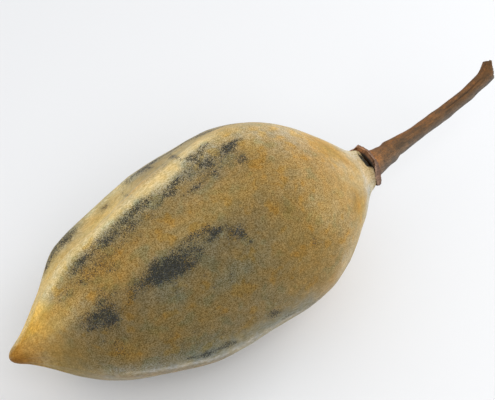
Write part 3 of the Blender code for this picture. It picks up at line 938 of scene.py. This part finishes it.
# Along the pod from the stalk's base and out from its middle in mm, then how free and how much of the hem
CALYX_SECTION = [
    (-2.1, 6.5, 0.0, 0.0), (-1.9, 7.5, 0.2, 0.0), (-1.55, 8.6, 0.6, 0.0), (-1.4, 9.5, 0.9, 0.0),
    (-1.45, 9.9, 1.0, 0.5), (-1.5, 10.15, 1.0, 1.0), (-1.3, 10.35, 1.0, 1.0), (-1.0, 10.45, 1.0, 0.3),
    (-0.7, 10.3, 1.0, 0.0), (-0.8, 9.4, 0.9, 0.0), (-0.9, 8.4, 0.5, 0.0), (-0.4, 7.5, 0.2, 0.0),
    (0.6, 6.9, 0.0, 0.0), (1.1, 6.6, 0.0, 0.0), (-0.5, 6.2, 0.0, 0.0),
]
CALYX_STEPS = 150

ring = bmesh.new()
part = ring.verts.layers.float_vector.new("part")
corners = []
for count, (along, out, free, hem) in enumerate(CALYX_SECTION):
    corners.append(ring.verts.new((out, 0.0, along)))
    corners[-1][part] = (free, hem, 0.0)
sides = [ring.edges.new(pair) for pair in zip(corners, corners[1:] + corners[:1])]
bmesh.ops.spin(
    ring,
    geom=corners + sides,
    cent=(0.0, 0.0, 0.0),
    axis=(0.0, 0.0, 1.0),
    angle=2.0 * math.pi,
    steps=CALYX_STEPS,
    use_merge=True,
)
bmesh.ops.subdivide_edges(ring, edges=ring.edges[:], cuts=1, use_grid_fill=True)
bmesh.ops.recalc_face_normals(ring, faces=ring.faces)
calyx_mesh = mesh_from(ring, "calyx")
print("calyx:", len(calyx_mesh.vertices), "vertices")

# %% Lean, wave and fray its rim
# Waves round the rim: how many, how high in mm, and where they start
CALYX_WAVES = [(3, 0.12, 0.4), (7, 0.12, 1.9), (12, 0.07, 0.7)]

# How far the hem draws in towards the neck for each mm of its width, and the middle of the wall's section,
# along and out in mm
HEM_HUGS = 0.36
WALL_MIDDLE = (-0.9, 8.4)

# How far the rim frays along, frays out and crumples, and the hem's plain width and its change, in mm
FRAY_ALONG = 0.15
FRAY_OUT = 0.22
CRUMPLE = 0.12
HEM_WIDTH = (0.5, 0.3)

# Turn and half width in degrees, then how far it moves the rim along and out, and widens the hem, in mm
CALYX_LOBES = [
    (-77.0, 6.0, -1.7, 1.1, 0.6), (-54.0, 18.0, 0.9, 0.55, 0.5), (-20.0, 20.0, 0.3, 0.0, -0.1),
    (24.0, 22.0, 0.25, 0.0, -0.6), (72.0, 32.0, 0.15, 0.0, 1.5), (112.0, 14.0, 0.25, 0.25, -0.2),
    (136.0, 18.0, 0.0, -1.5, -0.3), (185.0, 22.0, -0.3, 0.3, 0.4), (245.0, 28.0, 0.3, -1.0, 0.5),
]

cup = read_vectors(calyx_mesh)
cup_free, cup_hem = read_vectors(calyx_mesh, "part")[:, :2].T
cup_turn = np.degrees(np.arctan2(-cup[:, 0], cup[:, 1]))
cup_out = np.hypot(cup[:, 0], cup[:, 1])
cup_share = (np.arctan2(cup[:, 2] - WALL_MIDDLE[0], cup_out - WALL_MIDDLE[1]) / (2.0 * np.pi)) % 1.0
round_way = np.stack([np.cos(np.radians(cup_turn)), np.sin(np.radians(cup_turn))], axis=1)
flat_place = np.concatenate([16.0 * round_way, np.zeros((len(cup), 1))], axis=1)
fray = smooth_noise(flat_place, 1.5)
lean = sum(size * np.sin(np.radians(count * cup_turn) + start) for count, size, start in CALYX_WAVES)
reach_out = FRAY_OUT * fray
hem = HEM_WIDTH[0] + HEM_WIDTH[1] * smooth_noise(flat_place, 2.5)
for middle, half_width, back, out, wider in CALYX_LOBES:
    near = bell(around(cup_turn, middle) / half_width)
    lean = lean + back * near
    reach_out = reach_out + out * near
    hem = hem + wider * near
hem = np.maximum(hem, 0.0)
cup[:, 2] += (lean + FRAY_ALONG * fray) * cup_free - hem * cup_hem
reach_out = reach_out * cup_free**2 - HEM_HUGS * hem * cup_hem
cup[:, :2] *= (1.0 + reach_out / cup_out)[:, None]
cup[:, 2] += CRUMPLE * smooth_noise(cup, 1.8) * cup_free
along_pod = np.stack([cup[:, 2], cup[:, 0], cup[:, 1]], axis=1)
write_points(calyx_mesh, place_points(along_pod + np.array(STALK_BASE)))
unroll(calyx_mesh, (cup_turn / 360.0) % 1.0, cup_share)

# %% Mark its hem, its thin edge, and painted shade deep inside and painted light on the side facing the light
# The way round the wall's section, from the side that looks out: where its inside starts and ends, as shares
# of a full round, and how far its outside reaches both ways, in degrees
INSIDE_FROM = 0.4
INSIDE_TO = 0.9
OUTSIDE_DEGREES = 89.44

# The turn where the ring catches most light and gets painted light, and how far that reaches, in degrees
TOP_TURN = -42.0
TOP_HALF_WIDTH = 42.0

looks_in = (cup_share > INSIDE_FROM) & (cup_share < INSIDE_TO)
looks_out = np.abs(around(360.0 * cup_share, 0.0)) < OUTSIDE_DEGREES
calyx_marks = {
    "hem": cup_hem,
    "painted_shade_inside": fade(cup_out, 8.4, 7.5) * looks_in,
    "edge": fade(cup_free, 0.85, 1.0) * (1.0 - cup_hem) * looks_out,
    "painted_light_top": bell(around(cup_turn, TOP_TURN) / TOP_HALF_WIDTH),
}
add_marks(calyx_mesh, calyx_marks)
radial = np.concatenate([0.15 * cup_out[:, None], 9.0 * round_way], axis=1)
store(calyx_mesh, "lay", "FLOAT_VECTOR", "vector", radial)
print("calyx: hem up to", round(float(hem.max()), 1), "mm wide")

# %% [markdown]
# ## The dry calyx's finish
#
# Dried petals and sepals turn the red-brown of leather. Fibres run out from the stalk to the rim, the thin
# edge is darkest, and the hem is paler pink, partly its own tint and partly a painted highlight on its lip.
# The side of the ring that faces the light has a painted highlight in paler orange, and its deep inside a
# painted shade in near black. The fibres read a vector that is stored in the mesh and that stands still
# along a radius, so they stay radial all round.

# %% Calyx material
CALYX_DARK = rgb(0.115, 0.062, 0.042)
CALYX_WARM = rgb(0.330, 0.195, 0.122)
CALYX_HEM_PINK_AND_HIGHLIGHT = rgb(0.400, 0.275, 0.205)
CALYX_PAINTED_LIGHT = rgb(0.480, 0.225, 0.090)
CALYX_EDGE = rgb(0.080, 0.042, 0.030)

calyx_material, tree, shader = new_material("calyx_dry")
place = millimetres(tree)
ribbed = soft_step(tree, fibre_tone(tree, mark(tree, "lay", "Vector"), 0.6, 1.2), 0.25, 0.75)
leather = mix_colours(tree, ribbed, CALYX_DARK, CALYX_WARM)
# Paler pink on the hem: partly its own tint, partly a painted highlight on its lip
leather = lay_over(tree, leather, CALYX_HEM_PINK_AND_HIGHLIGHT, mark(tree, "hem"), 0.7)
# Painted highlight: paler orange on the side of the ring that faces the light
leather = lay_over(tree, leather, CALYX_PAINTED_LIGHT, mark(tree, "painted_light_top"), 0.85)
leather = cloud_over(tree, place, 2.5, leather, rgb(0.72, 0.68, 0.66), rgb(1.28, 1.22, 1.16))
leather = lay_over(tree, leather, CALYX_EDGE, mark(tree, "edge"), 0.7)
# Painted shade: near black deep inside the ring, next to the stalk
leather = lay_over(tree, leather, SOOT_AND_SHADE_DARK, mark(tree, "painted_shade_inside"), 0.9)
spotted = place_group(tree, specks, {"Place": place, "Fineness": 0.5, "Amount": 0.25})
leather = lay_over(tree, leather, SOOT_AND_SHADE_DARK, spotted, 0.6)
set_surface(tree, shader, leather, ribbed, 0.7, 0.15)
set_touch(shader, 0.65, 0.3)
make_piece("calyx_ring", calyx_mesh, calyx_material, "calyx_collar")

# %% [markdown]
# ## The stalk
#
# The stalk is a tough twig: widest where it carries the pod, thinnest past its middle, bent up at its far
# end, and flared there where it broke off the branch. A bevelled curve would make a tube, but its bark has
# ridges, a furrow and knots that need points to move. So a flat grid is rolled into a tube along a smooth
# course: one way on the sheet is the distance along the stalk, the other is the turn round it, and any ridge
# is a formula in these two. The length of each lengthwise row is set first, so that the far end comes out
# slanted and torn.

# %% The stalk's course and bark
# Distance along the pod, to the side and up from the base in mm, and the radius there
STALK_ROUTE = [
    ((0.0, 0.0, 0.0), 6.6), ((3.5, 0.3, 0.2), 6.3), ((8.5, 0.9, 0.3), 5.5), ((18.5, 1.9, 0.8), 4.4),
    ((28.0, 3.0, 0.8), 3.65), ((44.5, 4.7, 1.9), 3.35), ((55.0, 5.8, 3.0), 3.2), ((63.5, 6.7, 4.5), 3.25),
    ((71.3, 7.5, 6.8), 3.45), ((75.4, 7.9, 8.4), 3.75), ((78.2, 8.2, 10.5), 4.15),
    ((80.0, 8.35, 13.4), 4.6), ((81.2, 8.5, 16.6), 5.1), ((82.0, 8.6, 21.0), 5.8),
]

# Distance along, turn, height, half length in mm and half width in degrees of each knot or dent
STALK_KNOTS = [
    (6.5, -50.0, -0.5, 3.0, 45.0), (11.0, -50.0, -0.75, 2.0, 42.0), (13.5, -45.0, 0.25, 2.6, 40.0),
    (13.0, 128.0, 0.45, 2.2, 40.0), (16.6, 128.0, -0.35, 1.6, 36.0), (33.0, 60.0, 0.25, 4.0, 40.0),
    (42.0, -50.0, 0.2, 4.0, 40.0), (51.0, 120.0, 0.25, 3.5, 45.0), (66.0, 125.0, 0.35, 3.0, 40.0),
    (70.0, 80.0, -0.3, 3.0, 30.0), (30.0, 200.0, 0.3, 5.0, 50.0), (58.0, 250.0, 0.3, 4.0, 50.0),
]

# The furrow's turn and half width, its depth, and where along the stalk it starts, is full, fades and ends
FURROW_TURN = 14.0
FURROW_HALF_WIDTH = 7.0
FURROW_DEPTH = 0.5
FURROW_RUN = (43.0, 52.0, 70.0, 79.0)

# The radius of the bark's own straight coordinates, and a place between the two ends, in mm
STRAIGHT_RADIUS = 5.0
MID_REACH = 40.0

stops = [Vector(point) for point, radius in STALK_ROUTE]
reaches = [0.0]
for before, after in zip(stops, stops[1:]):
    reaches.append(reaches[-1] + (after - before).length)
route = [SmoothCurve(list(zip(reaches, [stop[axis] for stop in stops]))) for axis in range(3)]
route_radius = SmoothCurve([(reach, radius) for reach, (point, radius) in zip(reaches, STALK_ROUTE)])
print("stalk: course of", round(reaches[-1]), "mm")


def straight_place(reach, turn):
    """The place on the stalk as if it were straight and evenly thick: the bark's own coordinates."""
    angle = np.radians(turn)
    return np.stack([reach, STRAIGHT_RADIUS * np.cos(angle), STRAIGHT_RADIUS * np.sin(angle)], axis=1)


def furrow_share(reach, turn):
    """How deep the furrow is, from 0 to 1."""
    return swell(reach, *FURROW_RUN) * bell(around(turn, FURROW_TURN) / FURROW_HALF_WIDTH)


def bark_relief(reach, turn):
    """Lengthwise ridges, finer streaks, knots, dents and the furrow."""
    straight = straight_place(reach, turn)
    drawn = straight * np.array([0.09, 1.0, 1.0])
    angle = np.radians(turn)
    ridges = 0.12 * np.sin(5.0 * angle + 0.05 * reach) + 0.08 * np.sin(9.0 * angle - 0.04 * reach + 1.3)
    relief = ridges + 0.22 * smooth_noise(drawn, 1.5) + 0.08 * smooth_noise(drawn, 0.6)
    relief += 0.16 * smooth_noise(straight, 5.0)
    for place, middle, height, half_length, half_width in STALK_KNOTS:
        aside = around(turn, middle) / half_width
        relief += height * bell(np.hypot((reach - place) / half_length, aside))
    return relief - FURROW_DEPTH * furrow_share(reach, turn)


def bark_point(reach, turn, radius):
    """A point of the bark, bent along the stalk's course, in the pod's own millimetres."""
    centre = np.stack([curve.at(reach) for curve in route], axis=1)
    ahead = np.stack([curve.at(reach + 0.1) for curve in route], axis=1)
    tangent = ahead - centre
    tangent /= np.linalg.norm(tangent, axis=1, keepdims=True)
    sideways = np.cross(tangent, np.array([0.0, 0.0, 1.0]))
    sideways /= np.linalg.norm(sideways, axis=1, keepdims=True)
    upwards = np.cross(sideways, tangent)
    angle = np.radians(turn)
    out = sideways * np.sin(angle)[:, None] + upwards * np.cos(angle)[:, None]
    return centre + out * radius[:, None] + np.array(STALK_BASE)


# %% How far each row of the bark runs before it breaks
# A point on each broken face, from the stalk's base in mm, and the way that the face looks
BREAKS = [((81.0, 8.3, 12.2), (0.753, -0.593, 0.286)), ((77.3, 8.3, 18.1), (0.22, 0.65, 0.73))]
BREAK_FRAY = 0.4
TRIED_REACHES = np.arange(70.0, 94.0, 0.2)


def break_reach(turn):
    """The distance along the stalk at which each turn first meets a broken face, a little frayed."""
    tried = np.tile(TRIED_REACHES, len(turn))
    points = bark_point(tried, np.repeat(turn, len(TRIED_REACHES)), route_radius.at(tried))
    beyond = np.zeros(len(points), dtype=bool)
    for place, way in BREAKS:
        beyond |= (points - np.array(STALK_BASE) - np.array(place)) @ np.array(way) > 0.0
    first = beyond.reshape(len(turn), -1).argmax(axis=1)
    frayed = BREAK_FRAY * smooth_noise(straight_place(np.zeros(len(turn)), turn), 0.8)
    return TRIED_REACHES[first] + frayed


# %% Roll a sheet into the stalk
STALK_STEPS = 230
STALK_SIDES = 96

sheet = bmesh.new()
bmesh.ops.create_grid(sheet, x_segments=STALK_STEPS, y_segments=STALK_SIDES, size=0.5, calc_uvs=False)
flat = np.array([vertex.co for vertex in sheet.verts])
bark_turn = (flat[:, 1] + 0.5) * 360.0 - 180.0
bark_turn = np.where(bark_turn > 179.999, -180.0, bark_turn)
bark_reach = (flat[:, 0] + 0.5) * break_reach(bark_turn)
bark_radius = route_radius.at(bark_reach) + bark_relief(bark_reach, bark_turn)
rolled = bark_point(bark_reach, bark_turn, bark_radius)
straight = straight_place(bark_reach, bark_turn)
lay = sheet.verts.layers.float_vector.new("straight")
for vertex, point, own in zip(sheet.verts, rolled, straight):
    vertex.co = point
    vertex[lay] = own
bmesh.ops.remove_doubles(sheet, verts=sheet.verts, dist=0.001)
print("stalk:", len(sheet.verts), "vertices")

# %% Close both ends: a plain one in the calyx, and a hollowed, splintered one
SPLINTER = 0.5


def close_end(sheet, edges, way, steps):
    """Draw the rim in towards its middle in steps of (share, depth), and close it there."""
    rim = list({vertex for edge in edges for vertex in edge.verts})
    middle = sum((vertex.co for vertex in rim), Vector()) / len(rim)
    for share, depth in steps:
        grown = bmesh.ops.extrude_edge_only(sheet, edges=edges)["geom"]
        edges = [item for item in grown if isinstance(item, bmesh.types.BMEdge) and item.is_boundary]
        for vertex in [item for item in grown if isinstance(item, bmesh.types.BMVert)]:
            splinter = SPLINTER * noise.noise(vertex.co * 1.1)
            vertex.co = middle + (vertex.co - middle) * share + way * (depth + splinter)
            own = vertex[lay]
            vertex[lay] = Vector((own.x - 2.0 * depth, own.y * share, own.z * share))
    last = list({vertex for edge in edges for vertex in edge.verts})
    bmesh.ops.pointmerge(sheet, verts=last, merge_co=middle + way * steps[-1][1])


open_edges = [edge for edge in sheet.edges if edge.is_boundary]
base_rim = [edge for edge in open_edges if edge.verts[0][lay].x < MID_REACH]
torn_rim = [edge for edge in open_edges if edge.verts[0][lay].x > MID_REACH]
close_end(sheet, base_rim, Vector((1.0, 0.0, 0.0)), [(0.7, 0.0), (0.5, 0.0)])
break_way = Vector(BREAKS[0][1]).normalized()
close_end(sheet, torn_rim, break_way, [(0.88, -0.5), (0.8, -0.5), (0.6, -0.3), (0.4, 0.0)])
bmesh.ops.recalc_face_normals(sheet, faces=sheet.faces)
stalk_mesh = mesh_from(sheet, "stalk")
write_points(stalk_mesh, place_points(read_vectors(stalk_mesh)))
print("stalk, closed:", len(stalk_mesh.vertices), "vertices,", len(stalk_mesh.polygons), "faces")

# %% The bark's map and marks
# The turn that the light falls on: the shade mark grows away from it and drives painted light and shade
LIT_TURN = -50.0

own = read_vectors(stalk_mesh, "straight")
own_turn = np.degrees(np.arctan2(own[:, 2], own[:, 1]))
own_out = np.hypot(own[:, 1], own[:, 2])
past_rim = STRAIGHT_RADIUS - own_out
run = own[:, 0] + np.where(own[:, 0] > MID_REACH, past_rim, -past_rim)
run = (run - run.min()) / (run.max() - run.min())
unroll(stalk_mesh, ((own_turn + 180.0) / 360.0) % 1.0, run, own_out < 0.05)
bark_marks = {
    "shade": np.abs(around(own_turn, LIT_TURN)) / 180.0,
    "fresh": fade(own[:, 0], 9.0, 1.0),
    "furrow": furrow_share(own[:, 0], own_turn),
    "torn": fade(own_out, 4.95, 4.35) * (own[:, 0] > MID_REACH),
}
add_marks(stalk_mesh, bark_marks)
print("stalk: marks", ", ".join(bark_marks))

# %% [markdown]
# ## The stalk's finish
#
# The bark is warm orange-brown, painted lighter where the light falls and painted grey underneath as shade,
# with paler and darker streaks along it, fine fibres, and dark specks. The streaks read the stored straight
# coordinates, so they follow the bend and meet without a seam. The furrow is dark at its bottom, and the torn
# end shows pale, splintered wood.

# %% Stalk material
BARK_DARK = rgb(0.108, 0.060, 0.026)
BARK_WARM = rgb(0.195, 0.095, 0.034)
BARK_PAINTED_SHADE = rgb(0.150, 0.126, 0.102)
TORN_WOOD = rgb(0.150, 0.090, 0.045)
FURROW_DARK = rgb(0.045, 0.024, 0.011)
LIT_SIDE = rgb(1.45, 1.25, 1.0)
FRESH_SIDE = rgb(2.0, 1.8, 1.55)

stalk_material, tree, shader = new_material("stalk_bark")
lay_along = mark(tree, "straight", "Vector")
broad = soft_step(tree, fibre_tone(tree, lay_along, 2.2, 12.0), 0.22, 0.78)
fine = soft_step(tree, fibre_tone(tree, lay_along, 0.45, 2.2), 0.25, 0.75)
bark = mix_colours(tree, broad, BARK_DARK, BARK_WARM)
# Painted light: the bark is lighter on the side that the light falls on
bark = multiply_between(tree, soft_step(tree, mark(tree, "shade"), 0.0, 0.55), bark, LIT_SIDE, PLAIN)
bark = multiply_between(tree, mark(tree, "fresh"), bark, PLAIN, FRESH_SIDE)
# Painted shade: grey underneath, away from the light
bark = mix_colours(tree, soft_step(tree, mark(tree, "shade"), 0.45, 0.85, 0.9), bark, BARK_PAINTED_SHADE)
bark = mix_colours(tree, mark(tree, "torn"), bark, TORN_WOOD)
bark = multiply_between(tree, fine, bark, rgb(0.80, 0.77, 0.72), rgb(1.20, 1.22, 1.26))
bark = cloud_over(tree, lay_along, 4.0, bark, rgb(0.80, 0.84, 0.90), rgb(1.20, 1.14, 1.06))
bark = lay_over(tree, bark, FURROW_DARK, mark(tree, "furrow"), 0.7)
pitted = place_group(tree, specks, {"Place": lay_along, "Fineness": 0.4, "Amount": 0.35})
bark = lay_over(tree, bark, SOOT_AND_SHADE_DARK, pitted, 0.6)
set_surface(tree, shader, bark, fine, 0.6, 0.12)
set_touch(shader, 0.75, 0.25)
make_piece("stalk_bark", stalk_mesh, stalk_material, "stalk")

# %% [markdown]
# ## Floor and light
#
# The setting is a plain pale floor under soft studio light, and nothing else, so the eye stays on the pod.

# %% The floor
floor_sheet = bmesh.new()
bmesh.ops.create_grid(floor_sheet, x_segments=2, y_segments=2, size=4.0)
floor_mesh = mesh_from(floor_sheet, "floor")
floor_mesh.transform(Matrix.Translation((0.0, 0.0, -FLOOR_GAP)))
floor_material, tree, shader = new_material("floor_pale")
shader.inputs["Base Color"].default_value = rgb(0.785, 0.795, 0.812)
set_touch(shader, 0.9, 0.1)
floor_mesh.materials.append(floor_material)
floor = bpy.data.objects.new("floor", floor_mesh)
bpy.context.scene.collection.objects.link(floor)

# %% Light
LIGHT_TARGET = Vector((0.03, 0.0, 0.03))
LIGHT_DISTANCE = 1.2
LIGHT_SIZE = 0.9
SKY_STRENGTH = 0.765

# Name, compass angle and height angle in degrees, and power in watts
SOFTBOXES = [("right", 2.0, 26.0, 6.6), ("front", 257.0, 50.0, 5.3)]


def add_softbox(name, azimuth, height, power):
    """A round softbox that looks at the pod from a compass angle and a height angle, in degrees."""
    turn, lift = math.radians(azimuth), math.radians(height)
    way = Vector((math.cos(turn) * math.cos(lift), math.sin(turn) * math.cos(lift), math.sin(lift)))
    light = bpy.data.lights.new(name, "AREA")
    light.shape = "DISK"
    light.size = LIGHT_SIZE
    light.energy = power
    lamp = bpy.data.objects.new(name, light)
    lamp.location = LIGHT_TARGET + way * LIGHT_DISTANCE
    lamp.rotation_euler = way.to_track_quat("Z", "Y").to_euler()
    bpy.context.scene.collection.objects.link(lamp)


for settings in SOFTBOXES:
    add_softbox(*settings)
world = bpy.data.worlds.new("studio")
world.use_nodes = True
world.node_tree.nodes["Background"].inputs["Color"].default_value = rgb(1.0, 1.0, 1.0)
world.node_tree.nodes["Background"].inputs["Strength"].default_value = SKY_STRENGTH
bpy.context.scene.world = world
bpy.context.scene.view_settings.view_transform = "Standard"
